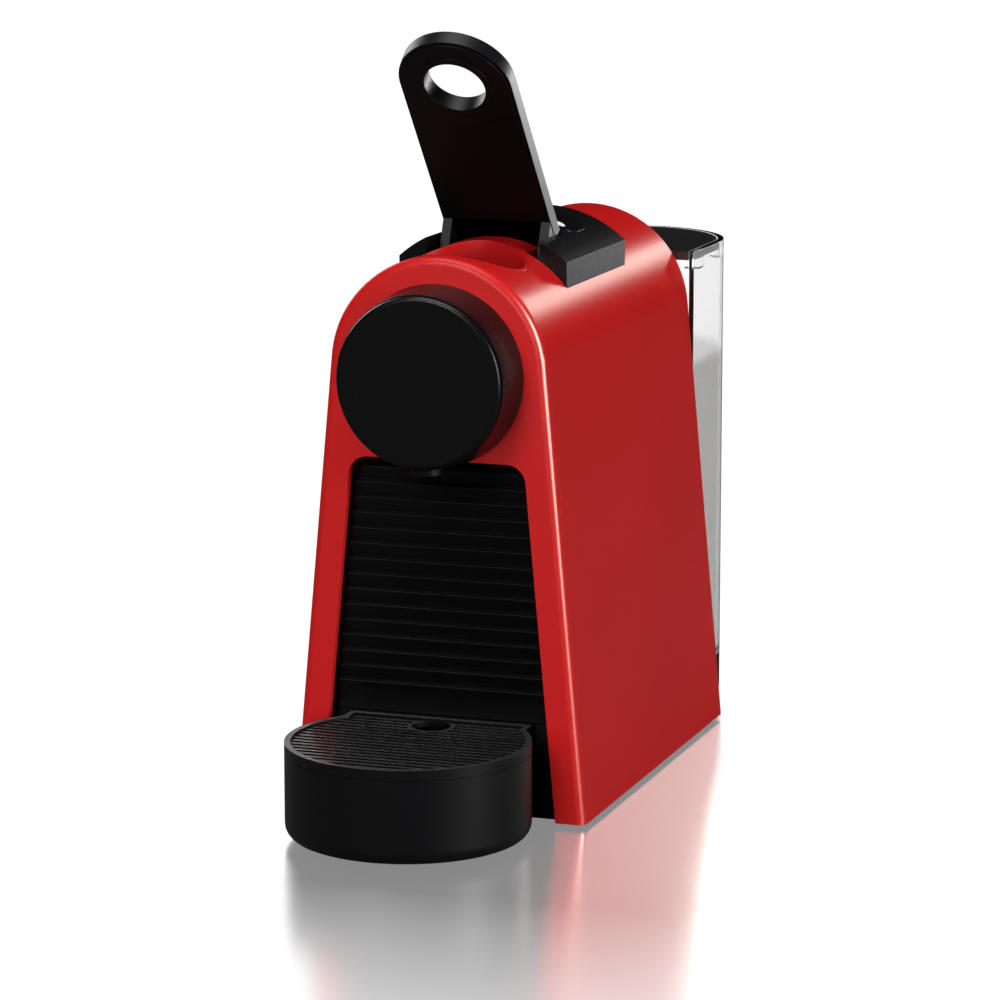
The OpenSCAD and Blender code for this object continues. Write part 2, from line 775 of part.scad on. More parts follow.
// Blade with a finger hole, two risers, a hub and a toothed sector on each side
module lever() color("#17181b") difference() {
  union() {
    lever_frame() {
      translate([0, 0, blade_z]) linear_extrude(lever_t) {
        translate([tuck - blade_r, grip_y]) square([lever_w - 2 * tuck, -grip_y - blade_tail]);
        translate([0, grip_y]) circle(blade_r);
      }
      translate([0, 0, blade_z - pad_step]) linear_extrude(pad_step + eps) {
        translate([tuck - pad_r, grip_y]) square([2 * (pad_r - tuck), 14]);
        translate([0, grip_y]) circle(pad_r);
      }
      translate([0, grip_y, blade_z - lip_h]) cylinder(r = grip_r + lip_w, h = lip_h + eps);
      pair() along_x(riser_in, riser_out) {
        polygon([[-14, blade_z + 1], [-blade_tail - 1, blade_z + 1], [hub_r - 0.6, 1.5], [0.8 - hub_r, -2]]);
        circle(hub_r);
      }
    }
    pair() bar_x(hub_r - 0.3, riser_out - 0.5, gear_out, hinge_y, hinge_z);
    pair() along_x(gear_in, gear_out) translate([hinge_y, hinge_z]) sector();
  }
  lever_frame() translate([0, grip_y, blade_z - 3]) cylinder(r = grip_r, h = lever_t + 6);
  pair() bar_x(shaft_r, riser_in - 1, gear_out + 1, hinge_y, hinge_z);
}

// Toothed sector that covers the lever's swing
module sector() {
  first = -ceil(lever_swing / 360 * sector_teeth) - 1;
  polygon(concat([[-1, 2], [2, 2]], [for (p = reverse(teeth(sector_teeth, first, 1, -90))) p]));
}

function reverse(list) = [for (i = [len(list) - 1:-1:0]) list[i]];

// Steel shaft across the machine
module lever_shaft() color("silver") bar_x(shaft_r, -cheek_out, cheek_out, hinge_y, hinge_z);

// ---------- top cover and buttons ----------

// Raised black cover behind and beside the lever
module top_cover() color("#1c1d20") difference() {
  intersection() {
    translate([0, 0, cover_foot]) linear_extrude(crown_r) cover_plan(0);
    bar_y(cover_r, cover_y0 - 1, cover_y1 + 1, 0, cover_cz);
  }
  intersection() {
    translate([0, 0, cover_foot - 1]) linear_extrude(crown_r) cover_plan(cover_t);
    bar_y(cover_r - cover_t, cover_y0, cover_y1, 0, cover_cz);
  }
  block([-notch_half - cover_t - 0.1, cover_y0 + cover_t, cover_foot - 1],
    [notch_half + cover_t + 0.1, cover_y1 - cover_t, notch_wall_z]);
  pair() translate([button_x, button_y, cover_foot]) linear_extrude(crown_r) button_plan(0.3);
}

// Circuit board under the buttons
module control_board() color("green") {
  block([-cover_half + cover_t + 1, notch_back + 3, board_z],
    [cover_half - cover_t - 1, cover_y1 - cover_t - 1, board_z + board_t]);
  block([-7, button_y + 6, board_z - 3], [7, button_y + 18, board_z]);
  pair() block([cover_half - cover_t - 6, button_y + 14, board_z - 9],
    [cover_half - cover_t - 3, button_y + 22, board_z]);
}

// One button: a cap shaped like the cover's curve, on a stem
module button() difference() {
  union() {
    intersection() {
      translate([button_x, button_y, button_foot + 1.5]) linear_extrude(20) button_plan(0);
      bar_y(cover_r + 0.3, cover_y0, cover_y1, 0, cover_cz);
    }
    translate([button_x, button_y, button_foot]) cylinder(r = 3.4, h = 2);
  }
  translate([button_x, icon_y, button_icon_z]) cylinder(r = icon_r, h = 10);
}

button_icon_z = cover_cz + sqrt(pow(cover_r + 0.3, 2) - pow(button_x + icon_r, 2)) - icon_t;

module espresso_button() color("#1c1d20") mirror([1, 0, 0]) button();
module lungo_button() color("#1c1d20") button();

// Light ring set in a button
module icon(inner) difference() {
  intersection() {
    translate([button_x, icon_y, button_icon_z]) cylinder(r = icon_r, h = 5);
    bar_y(cover_r + 0.4, cover_y0, cover_y1, 0, cover_cz);
  }
  translate([button_x, icon_y, button_icon_z + 0.4]) cylinder(r = inner, h = 5);
}

module espresso_icon() color("white") mirror([1, 0, 0]) icon(icon_r - 1.1);
module lungo_icon() color("white") icon(icon_r - 0.8);

// Silicone dome that returns a button
module dome() translate([button_x, button_y, board_z + board_t]) rotate_extrude()
  polygon([[0, dome_h - 0.8], [2.6, dome_h - 0.8], [4.6, 0], [5.6, 0], [3.4, dome_h], [0, dome_h]]);

module espresso_dome() color("lightgray") mirror([1, 0, 0]) dome();
module lungo_dome() color("lightgray") dome();

// ---------- drip tray and capsule bin ----------

// Round cup, its tail, the plain lower panel and the sled that carries the bin
module drip_tray() color("#131417") {
  difference() {
    intersection() {
      union() {
        translate([0, tray_y, 0]) rotate_extrude() cup_profile(tray_r, tray_edge, tray_z, tray_split);
        block([-tail_half, tray_y, drawer_z], [tail_half, panel_y + 1, tray_split]);
      }
      block([-tray_r - 1, tray_y - tray_r - 1, 0], [tray_r + 1, panel_y + 1, tray_top]);
    }
    intersection() {
      union() {
        translate([0, tray_y, 0]) rotate_extrude()
          cup_profile(tray_r - tray_t, tray_edge - 1, tray_z + tray_t, tray_split + 1);
        block([-tail_half + tray_t, tray_y, drawer_z + tray_t], [tail_half - tray_t, panel_y, tray_split + 1]);
      }
      block([-tray_r, tray_y - tray_r, 0], [tray_r, panel_y, tray_top]);
    }
    block([-tray_r - 1, front_y + fascia_t - slide_gap, 0], [tray_r + 1, panel_y + 2, drawer_z]);
  }
  block([-tail_half, grid_back + 0.3, tray_split - 2], [tail_half, panel_y + 1, tray_top]);
  along_y(panel_y, panel_y + drawer_t) opening_low();
  block([-bin_half, panel_y + drawer_t - eps, drawer_z], [bin_half, bin_back, drawer_z + drawer_t]);
}

// Outline of the plain panel under the slats
module opening_low() {
  in = leg_w + slide_gap;
  polygon([
    [-side_x(drawer_z, in), drawer_z], [side_x(drawer_z, in), drawer_z],
    [side_x(tray_top, in), tray_top], [-side_x(tray_top, in), tray_top]]);
}

// Lift-off rim and grid of straight bars, with a round hole for a finger
module drip_grid() color("#1d1e21") difference() {
  z0 = tray_split + split_gap;
  union() {
    difference() {
      translate([0, 0, z0]) linear_extrude(tray_top - z0) tray_plan(0, grid_back);
      translate([0, 0, z0 - 1]) linear_extrude(rim_h + 2) tray_plan(tray_t, grid_back - tray_t);
    }
    intersection() {
      translate([0, 0, grid_z - grid_t]) linear_extrude(grid_t) tray_plan(tray_t - 0.1, grid_back - tray_t + 0.1);
      grid_bars();
    }
    translate([0, dip_y, grid_z - grid_t]) cylinder(r = dip_r + 1.4, h = grid_t);
  }
  translate([0, dip_y, 0]) cylinder(r = dip_r, h = tray_top);
}

// Bars across the tray and the ribs that join them
module grid_bars() {
  bars = floor((grid_back - tray_y + tray_r - 2 * tray_t) / grid_pitch);
  for (i = [1:bars]) block(
    [-tray_r, grid_back - tray_t - i * grid_pitch, 0],
    [tray_r, grid_back - tray_t - i * grid_pitch + bar_w, tray_top]);
  for (x = [-20, 0, 20])
    block([x - 1, tray_y - tray_r, grid_z - grid_t], [x + 1, grid_back, grid_z - 0.6]);
}

// Bin that the used capsules fall into
module capsule_bin() color("#202124") difference() {
  block([-bin_half, panel_y + panel_t, bin_z], [bin_half, bin_back, bin_top]);
  block([-bin_half + bin_t, panel_y + panel_t + bin_t, bin_z + bin_t], [bin_half - bin_t, bin_back - bin_t, bin_top + 1]);
}

// Slatted front of the bin
module slat_panel() color("#151619") intersection() {
  along_x(-base_w / 2, base_w / 2) polygon(concat(
    [[panel_y + panel_t, panel_top], [panel_y + panel_t, tray_top + 0.3], [panel_y, tray_top + 0.3]],
    [for (i = [slats - 1:-1:0]) each slat(panel_top - (i + 1) * slat_pitch)]));
  along_y(panel_y - slat_nose - 1, panel_y + panel_t) opening_outline(slide_gap, 0, panel_top);
}

// Outline of one slat that starts at height z: its face leans out to a nose under a sloping ledge
function slat(z) = [
  [panel_y, z], [panel_y - slat_nose, z + slat_pitch - nose_h - ledge_rise],
  [panel_y - slat_nose, z + slat_pitch - ledge_rise], [panel_y, z + slat_pitch - slat_seam]];

// ---------- water tank ----------

// Clear tank with an outlet neck and four pads for the lid
module water_tank() color("lightblue", 0.35) difference() {
  union() {
    difference() {
      translate([0, 0, tank_bottom]) linear_extrude(tank_top - tank_bottom) tank_plan(0);
      translate([0, 0, tank_floor]) linear_extrude(tank_top) tank_plan(tank_t);
    }
    translate([0, valve_y, tank_bottom - neck_h]) cylinder(r = neck_r, h = neck_h + eps);
    intersection() {
      translate([0, 0, tank_top - lid_t - 4]) linear_extrude(4) tank_plan(tank_t - eps);
      union() for (y = [tank_y0 + 12, tank_cy + 12]) translate([0, y, tank_top - lid_t - 5])
        pair() block([tank_half - 6 - (y > tank_cy ? 2.5 : 0), -4, 0], [tank_half, 4, 6]);
    }
  }
  translate([0, valve_y, tank_bottom - neck_h - 1]) cylinder(r = neck_r - 2, h = neck_h - 1);
  for (a = [45:90:315]) translate([0, valve_y, tank_bottom - 3]) rotate([0, 0, a])
    translate([4, 0, 0]) cylinder(r = 1.3, h = 10);
  translate([0, valve_y, tank_bottom - 3]) cylinder(r = stem_r + run_gap, h = 10);
}

// Lid set inside the rim, with a shallow finger dip
module tank_lid() color("#1b1c1f") difference() {
  translate([0, 0, tank_top - lid_t]) linear_extrude(lid_t) tank_plan(tank_t + 0.4);
  translate([0, tank_cy + 12, tank_top - 1.2]) cylinder(r = 12, h = 2);
  translate([0, tank_cy + 12, tank_top - 1.6]) cylinder(r = 9, h = 2);
}

// Spring valve in the tank's neck, held up by the socket's probe
module tank_valve() color("gray") {
  z = tank_floor + valve_lift;
  translate([0, valve_y, z]) cylinder(r = disc_valve_r, h = 1.6);
  translate([0, valve_y, probe_top]) cylinder(r = stem_r, h = z - probe_top + eps);
}

filter_h = 15;

// Spring between the valve and the filter's roof
module valve_spring() color("silver")
  translate([0, valve_y, tank_floor + valve_lift + 1.7]) coil_spring(3.2, filter_h - valve_lift - 3.6, 4, 0.4);

// Inlet filter over the valve
module tank_filter() color("white") translate([0, valve_y, tank_floor]) difference() {
  cylinder(r = 11, h = filter_h);
  translate([0, 0, -1]) cylinder(r = 9.6, h = filter_h - 0.4);
  for (a = [0:45:135]) rotate([0, 0, a]) block([-12, -1.6, 2.5], [12, 1.6, filter_h - 4]);
}

// Lip seal round the neck
module valve_seal() color("black") translate([0, valve_y, tank_bottom - neck_h + 1.5]) difference() {
  cylinder(r = neck_r + 2.6, h = 2.4);
  translate([0, 0, -1]) cylinder(r = neck_r + 0.1, h = 5);
}

// Socket in the ledge, with the probe that lifts the valve
module valve_socket() color("gray") {
  z0 = base_top;
  difference() {
    translate([0, valve_y, z0]) cylinder(r = neck_r + 3, h = ledge_top - z0);
    translate([0, valve_y, tank_bottom - neck_h - 1]) cylinder(r = neck_r + 0.4, h = 20);
    translate([0, valve_y, z0 + 2]) cylinder(r = neck_r - 1.5, h = 20);
    translate([0, valve_y, tank_bottom - neck_h + 1.5]) cylinder(r = neck_r + 2.6, h = 2.4);
    translate([0, valve_y, tank_bottom - neck_h + 3.9]) cylinder(r = neck_r + 1, h = 20);
    bar_x(2, 0, 30, valve_y, z0 + 4);
  }
  translate([0, valve_y, z0]) cylinder(r = 1.2, h = probe_top - z0);
}

// ---------- flow meter ----------

meter_z = base_top;

// Round housing of the flow meter with two nipples
module flow_meter() color("white") difference() {
  union() {
    translate([0, meter_y, meter_z]) cylinder(r = meter_r, h = meter_h);
    pair() bar_x(2.6, meter_r - 3, meter_r + 6, meter_y, meter_z + 5.5);
  }
  translate([0, meter_y, meter_z + 2]) cylinder(r = meter_r - 2, h = meter_h);
  pair() bar_x(1.4, meter_r - 4, meter_r + 7, meter_y, meter_z + 5.5);
}

// Lid of the flow meter with the upper end of the turbine's pin
module flow_meter_cover() color("white") {
  translate([0, meter_y, meter_z + meter_h]) cylinder(r = meter_r, h = 2);
  translate([0, meter_y, meter_z + 2]) cylinder(r = 0.8, h = meter_h - 2 + eps);
}

// Bladed wheel that the water turns
module flow_turbine() color("orange") translate([0, meter_y, meter_z + 2.6]) difference() {
  union() {
    cylinder(r = 3, h = meter_h - 3.4);
    for (a = [0:60:300]) rotate([0, 0, a]) block([2, -0.5, 1], [meter_r - 3, 0.5, meter_h - 5]);
  }
  translate([0, 0, -1]) cylinder(r = 0.8 + run_gap, h = meter_h);
}

// ---------- pump ----------

tube_out = 9;
tube_top = coil_z + coil_h + 12;

// Turned tube of the pump, with its inlet and outlet nipples
module pump_body() color("white") translate([0, pump_y, 0]) difference() {
  union() {
    translate([0, 0, pump_z0]) cylinder(r = tube_out, h = tube_top - pump_z0);
    translate([0, 0, tube_top - eps]) cylinder(r = 6, h = 8);
    translate([0, 0, tube_top + 7]) cylinder(r = 3, h = 8);
    translate([0, 0, pump_z0 - 7]) cylinder(r = 3, h = 7 + eps);
    translate([0, 0, pump_z0 + 2]) cylinder(r = tube_out + 3, h = 3);
  }
  translate([0, 0, pump_z0 + 4]) cylinder(r = pump_bore, h = tube_top - pump_z0 - 8);
  translate([0, 0, pump_z0 - 8]) cylinder(r = 1.6, h = 20);
  translate([0, 0, tube_top - 6]) cylinder(r = 1.6, h = 25);
}

// Encapsulated coil round the tube
module pump_coil() color("#2a2c30") translate([0, pump_y, coil_z]) difference() {
  cylinder(r = coil_r, h = coil_h);
  translate([0, 0, -1]) cylinder(r = tube_out, h = coil_h + 2);
}

// Steel yoke that closes the coil's magnetic path
module pump_bracket() color("silver") difference() {
  block([-coil_r - 2, pump_y - coil_r * 0.6, coil_z - 2], [coil_r + 2, pump_y + coil_r * 0.6, coil_z + coil_h + 2]);
  block([-coil_r, pump_y - coil_r, coil_z], [coil_r, pump_y + coil_r, coil_z + coil_h]);
  translate([0, pump_y, coil_z - 3]) cylinder(r = tube_out, h = coil_h + 6);
}

// Steel piston
module pump_piston() color("silver") translate([0, pump_y, piston_z]) difference() {
  cylinder(r = piston_r, h = piston_l);
  translate([0, 0, -1]) cylinder(r = 1.8, h = piston_l + 2);
}

// Spring under the piston
module pump_spring() color("silver")
  translate([0, pump_y, pump_z0 + 4.05]) coil_spring(4.1, piston_z - pump_z0 - 4.1, 7, 0.6);

// Rubber mounts that carry the pump on the base plate
module pump_mounts() color("black") {
  pair() difference() {
    block([tube_out + 3.5, pump_y - 6, base_top], [coil_r + 5, pump_y + 6, coil_z - 2]);
    block([tube_out + 2, pump_y - 3, base_top + 4], [coil_r + 6, pump_y + 3, coil_z - 8]);
  }
}

// ---------- heater ----------

function lug_places() = [block_y0 + 8, block_y0 + block_l - 8];

// Cast block that heats the water, with lugs between the frame's arms
module thermoblock() color("lightgray") difference() {
  union() {
    block([-block_half, block_y0, block_z0], [block_half, block_y0 + block_l, block_z1]);
    for (y = lug_places()) block([-cheek_in, y - 5, brew_z - 5], [cheek_in, y + 5, brew_z + 5]);
    bar_y(5, block_y0 + block_l - eps, block_y0 + block_l + 5, -11, block_z1 - 8);
    bar_y(5, block_y0 + block_l - eps, block_y0 + block_l + 5, 11, block_z1 - 8);
    translate([0, block_y0 + block_l - 12, block_z0 - 6]) cylinder(r = 3, h = 6 + eps);
  }
  bar_y(4, block_y0 - 1, block_y0 + 5, 0, brew_z);
  bar_y(tube_r + 0.6, block_y0, block_y0 + block_l - 6, 0, brew_z);
  translate([0, block_y0 + block_l - 12, block_z0 - 7]) cylinder(r = 1.6, h = 20);
  for (x = [-14:7:14]) block([x - 1, block_y0 - 1, block_z0 - 1], [x + 1, block_y0 + block_l - 20, block_z0 + 5]);
  pair() for (y = lug_places()) bar_x(screw_r, cheek_in - 5, cheek_in + 1, y, brew_z);
}

// Brass gland that the feed tube slides in
module inlet_gland() color("gold") difference() {
  union() {
    translate([0, block_y0, brew_z]) rotate([90, 0, 0]) cylinder(r = 6, h = 3.4, $fn = 6);
    bar_y(4, block_y0 - 1, block_y0 + 5, 0, brew_z);
  }
  bar_y(tube_r + run_gap, block_y0 - 5, block_y0 + 6, 0, brew_z);
}

// Two thermostats on top of the block
module thermostats() color("white") for (y = lug_places()) translate([0, y, block_z1]) {
  cylinder(r = 7, h = 2);
  cylinder(r = 5, h = 5.5);
  for (s = [-1, 1]) block([s * 2.4 - 0.6, -2, 5], [s * 2.4 + 0.6, 2, 9]);
}

// Screws that hang the thermoblock between the arms
module block_screws() color("silver") pair() for (y = lug_places()) {
  bar_x(screw_r, cheek_in - 5, cheek_out, y, brew_z);
  bar_x(2 * screw_r, cheek_out, cheek_out + 1.4, y, brew_z);
}

// ---------- hoses, electrics ----------

module suction_hose() color("white") hose([
  [neck_r + 6, valve_y, base_top + 4], [hose_x, valve_y - 4, hose_z], [hose_x, back_y, hose_z],
  [hose_x, pump_y + coil_r, hose_z], [hose_x + 4, pump_y, hose_z],
  [hose_x + 2, meter_y + 8, hose_z], [meter_r + 9, meter_y, meter_z + 5.5]], 2.6);

module pump_hose() color("white") hose([
  [-meter_r - 9, meter_y, meter_z + 5.5], [-meter_r - 12, meter_y + 10, base_top + 5],
  [-coil_r - 9, pump_y - 20, base_top + 5], [-8, pump_y - 16, base_top + 5],
  [0, pump_y - 6, base_top + 5], [0, pump_y, base_top + 6]], 2.6);

module pressure_hose() color("white") hose([
  [0, pump_y, tube_top + 17.6], [0, pump_y + 1, tube_top + 20],
  [0, block_y0 + block_l - 13, block_z0 - 12], [0, block_y0 + block_l - 12, block_z0 - 8.6]], 2.6);

// Power electronics on the left wall
module power_board() color("darkgreen") {
  x = -(side_x(base_top + 104, shell_t) - 3);
  y = meter_y + 6;
  block([x, y, base_top + 40], [x + 1.6, y + 62, base_top + 102]);
  block([x + 1.5, y + 6, base_top + 46], [x + 14, y + 30, base_top + 66]);
  block([x + 1.5, y + 6, base_top + 72], [x + 12, y + 22, base_top + 92]);
  for (i = [0:1]) translate([x + 1.5, y + 34 + 14 * i, base_top + 84]) rotate([0, 90, 0]) cylinder(r = 5, h = 12);
  for (z = [base_top + 44, base_top + 98], s = [4, 58])
    bar_x(3, 0.8 - side_x(z + 3, shell_t), x + 0.5, y + s, z);
}

// Rubber grommet where the mains lead enters
module cord_grommet() color("black") difference() {
  union() {
    bar_y(grommet_r, back_y - 2.5, back_y, grommet_x, grommet_z);
    bar_y(grommet_r + 0.8, back_y, back_y + 1.6, grommet_x, grommet_z);
    bar_y(grommet_r + 0.8, back_y - 4.1, back_y - 2.5, grommet_x, grommet_z);
  }
  bar_y(grommet_r - 1, back_y - 6, back_y + 3, grommet_x, grommet_z);
}

body_shell();
front_fascia();
rear_panel();
base_plate();
rubber_feet();
case_screws();
head_cover_ring();
head_cover_cap();
coffee_spout();
capsule_chute();
brew_frame();
extraction_plate();
plate_seal();
capsule_cage();
cage_seal();
injector_plate();
inlet_tube();
cage_racks();
idler_gear_left();
idler_gear_right();
idler_pins();
lever();
lever_shaft();
top_cover();
control_board();
espresso_button();
lungo_button();
espresso_icon();
lungo_icon();
espresso_dome();
lungo_dome();
drip_tray();
drip_grid();
capsule_bin();
slat_panel();
water_tank();
tank_lid();
tank_valve();
valve_spring();
tank_filter();
valve_seal();
valve_socket();
flow_meter();
flow_meter_cover();
flow_turbine();
pump_body();
pump_coil();
pump_bracket();
pump_piston();
pump_spring();
pump_mounts();
thermoblock();
inlet_gland();
thermostats();
block_screws();
suction_hose();
pump_hose();
pressure_hose();
power_board();
cord_grommet();
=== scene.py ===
import json
import math

import bmesh
import bpy
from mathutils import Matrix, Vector


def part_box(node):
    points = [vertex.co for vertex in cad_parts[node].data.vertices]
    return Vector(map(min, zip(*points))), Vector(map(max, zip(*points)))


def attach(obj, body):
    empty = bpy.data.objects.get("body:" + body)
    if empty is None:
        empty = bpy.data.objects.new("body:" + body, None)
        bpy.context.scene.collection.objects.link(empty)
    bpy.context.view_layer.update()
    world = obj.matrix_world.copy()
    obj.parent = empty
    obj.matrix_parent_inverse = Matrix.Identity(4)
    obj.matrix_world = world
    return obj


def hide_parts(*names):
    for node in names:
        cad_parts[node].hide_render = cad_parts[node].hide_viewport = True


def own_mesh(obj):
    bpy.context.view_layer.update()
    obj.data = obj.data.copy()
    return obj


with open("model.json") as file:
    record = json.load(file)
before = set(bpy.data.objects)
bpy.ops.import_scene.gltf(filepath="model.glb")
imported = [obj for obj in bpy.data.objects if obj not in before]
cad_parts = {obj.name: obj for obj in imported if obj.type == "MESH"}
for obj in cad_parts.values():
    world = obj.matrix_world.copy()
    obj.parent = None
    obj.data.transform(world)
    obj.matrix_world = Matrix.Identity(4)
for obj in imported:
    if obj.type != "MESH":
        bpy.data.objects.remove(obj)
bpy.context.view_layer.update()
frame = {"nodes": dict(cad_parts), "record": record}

MM = 0.001
record = frame["record"]
slot_of = {s["node"]: s["material_slot"] for s in record["subparts"]}
body_of_node = {n: b for b, nodes in record["behaviour"]["bodies"].items() for n in nodes}


# ---------- materials ----------

class Shader:
    """A new node material and the few node groups that every finish here is made of."""

    def __init__(self, name):
        self.material = bpy.data.materials.new(name)
        self.material.use_nodes = True
        self.tree = self.material.node_tree
        self.surface = self.tree.nodes["Principled BSDF"]
        self.place = self.tree.nodes.new("ShaderNodeTexCoord")

    def set(self, **values):
        for label, value in values.items():
            self.surface.inputs[label.replace("_", " ")].default_value = value
        return self

    def link(self, output, target):
        self.tree.links.new(output, target)

    def noise(self, per_mm, detail=3.0, stretch=(1, 1, 1)):
        """Noise with a grain of 1 / per_mm millimetres, in the object's own coordinates."""
        mapping = self.tree.nodes.new("ShaderNodeMapping")
        mapping.inputs["Scale"].default_value = stretch
        node = self.tree.nodes.new("ShaderNodeTexNoise")
        node.inputs["Scale"].default_value = per_mm / MM
        node.inputs["Detail"].default_value = detail
        node.inputs["Roughness"].default_value = 0.55
        self.link(self.place.outputs["Object"], mapping.inputs["Vector"])
        self.link(mapping.outputs["Vector"], node.inputs["Vector"])
        return node.outputs["Fac"]

    def along(self, axis):
        """The place along X, Y or Z, in the object's own coordinates."""
        node = self.tree.nodes.new("ShaderNodeSeparateXYZ")
        self.link(self.place.outputs["Object"], node.inputs["Vector"])
        return node.outputs[axis]

    def cells(self, per_mm):
        """Irregular cells, 1 / per_mm millimetres apart, in the object's own coordinates."""
        node = self.tree.nodes.new("ShaderNodeTexVoronoi")
        node.inputs["Scale"].default_value = per_mm / MM
        self.link(self.place.outputs["Object"], node.inputs["Vector"])
        return node.outputs["Distance"]

    def range(self, value, low, high, start=0.3, end=0.7):
        """The value from start to end, stretched to run from low to high."""
        node = self.tree.nodes.new("ShaderNodeMapRange")
        node.inputs["From Min"].default_value = start
        node.inputs["From Max"].default_value = end
        node.inputs["To Min"].default_value = low
        node.inputs["To Max"].default_value = high
        self.link(value, node.inputs["Value"])
        return node.outputs["Result"]

    def colours(self, value, *stops):
        """Base colour from the value, by way of stops of (value, colour)."""
        node = self.tree.nodes.new("ShaderNodeValToRGB")
        ramp = node.color_ramp
        for i, (at, colour) in enumerate(stops):
            stop = ramp.elements[i] if i < 2 else ramp.elements.new(at)
            stop.position = at
            stop.color = (*colour, 1)
        self.link(value, node.inputs["Fac"])
        self.link(node.outputs["Color"], self.surface.inputs["Base Color"])

    def roughness(self, value, low, high):
        self.link(self.range(value, low, high), self.surface.inputs["Roughness"])

    def bump(self, value, depth_mm, strength=0.6, below=None):
        """Relief of the value, on top of the relief below it, if there is one."""
        node = self.tree.nodes.new("ShaderNodeBump")
        node.inputs["Strength"].default_value = strength
        node.inputs["Distance"].default_value = depth_mm * MM
        self.link(value, node.inputs["Height"])
        if below is not None:
            self.link(below, node.inputs["Normal"])
        self.link(node.outputs["Normal"], self.surface.inputs["Normal"])
        return node.outputs["Normal"]


def shade(colour, factor):
    return tuple(c * factor for c in colour)


def moulded(name, colour, rough, specular, grain=2.2, depth=0.012):
    """Injection-moulded plastic: a fine spark-eroded grain, faint flow marks and uneven gloss."""
    s = Shader(name).set(Specular_IOR_Level=specular)
    flow = s.noise(0.03, detail=2.0, stretch=(1, 1, 0.4))
    fine = s.noise(grain, detail=2.0)
    s.colours(flow, (0.3, shade(colour, 0.88)), (0.7, shade(colour, 1.12)))
    s.roughness(fine, rough - 0.05, rough + 0.05)
    s.bump(fine, depth)
    return s.material


def lacquered(name, colour):
    """Glossy coloured plastic with a faint orange peel, fine dust-like pits and slow colour drift."""
    s = Shader(name).set(Specular_IOR_Level=0.18)
    drift = s.noise(0.012, detail=1.0)
    peel = s.noise(0.35, detail=2.0)
    fine = s.noise(3.0, detail=2.0)
    s.colours(drift, (0.3, shade(colour, 0.97)), (0.7, shade(colour, 1.03)))
    s.roughness(fine, 0.27, 0.33)
    s.bump(fine, 0.002, below=s.bump(peel, 0.012, strength=0.25))
    return s.material


def metal(name, colour, rough, stretch=(1, 12, 1), grain=0.5, depth=0.004):
    """Metal with a directional finish: long scratches in roughness and relief."""
    s = Shader(name).set(Metallic=1.0)
    lines = s.noise(grain, detail=4.0, stretch=stretch)
    cloud = s.noise(0.06, detail=2.0)
    s.colours(cloud, (0.3, shade(colour, 0.9)), (0.7, colour))
    s.roughness(lines, rough - 0.08, rough + 0.1)
    s.bump(lines, depth)
    return s.material


def soft(name, colour, rough, sheen):
    """Rubber or silicone: matt, a little dusty, with a coarse grain."""
    s = Shader(name).set(Specular_IOR_Level=0.25, Sheen_Weight=sheen, Sheen_Roughness=0.5)
    dust = s.noise(0.15, detail=4.0)
    grain = s.noise(1.6, detail=2.0)
    s.colours(dust, (0.3, shade(colour, 0.85)), (0.7, shade(colour, 1.2)))
    s.roughness(dust, rough - 0.08, rough + 0.05)
    s.bump(grain, 0.03)
    return s.material


def clear_plastic(name):
    """Clear moulded plastic with slight waviness and faint handling marks, and painted shade: greyer below
    a set height.
    """
    s = Shader(name).set(Transmission_Weight=1.0, IOR=1.36, Specular_IOR_Level=0.5)
    wave = s.noise(0.04, detail=1.0)
    marks = s.noise(0.9, detail=5.0, stretch=(1, 1, 0.2))
    above = s.range(s.along("Z"), 0.0, 1.0, SHADE_LINE_Z - SHADE_LINE_BLEND, SHADE_LINE_Z + SHADE_LINE_BLEND)
    # Painted shade: the clear plastic is tinted grey under the set height, darkening what is seen through
    # it
    s.colours(above, (0.0, (0.62, 0.615, 0.61)), (1.0, (0.985, 0.985, 0.985)))
    s.roughness(marks, 0.02, 0.09)
    s.bump(wave, 0.05, strength=0.3)
    return s.material


def circuit_board(name):
    """Solder mask over copper tracks: a paler, raised cell pattern on green."""
    s = Shader(name).set(Specular_IOR_Level=0.4)
    tracks = s.cells(0.35)
    s.colours(tracks, (0.3, (0.012, 0.09, 0.035)), (0.42, (0.02, 0.16, 0.06)))
    s.roughness(s.noise(1.0), 0.3, 0.45)
    s.bump(tracks, 0.03)
    return s.material


def light_window(name):
    """Light-diffusing plastic of a button's ring."""
    s = Shader(name).set(Specular_IOR_Level=0.4, Emission_Strength=0.25)
    grain = s.noise(2.0, detail=2.0)
    s.colours(grain, (0.3, (0.72, 0.74, 0.76)), (0.7, (0.86, 0.88, 0.9)))
    s.surface.inputs["Emission Color"].default_value = (0.8, 0.88, 1.0, 1)
    s.roughness(grain, 0.3, 0.42)
    s.bump(grain, 0.01)
    return s.material


# Height under which the clear plastic is greyer, as painted shade, and half of the change's height
SHADE_LINE_Z = 139 * MM
SHADE_LINE_BLEND = 2 * MM

RED = (0.50, 0.0095, 0.0100)
BLACK = (0.0032, 0.0034, 0.0042)

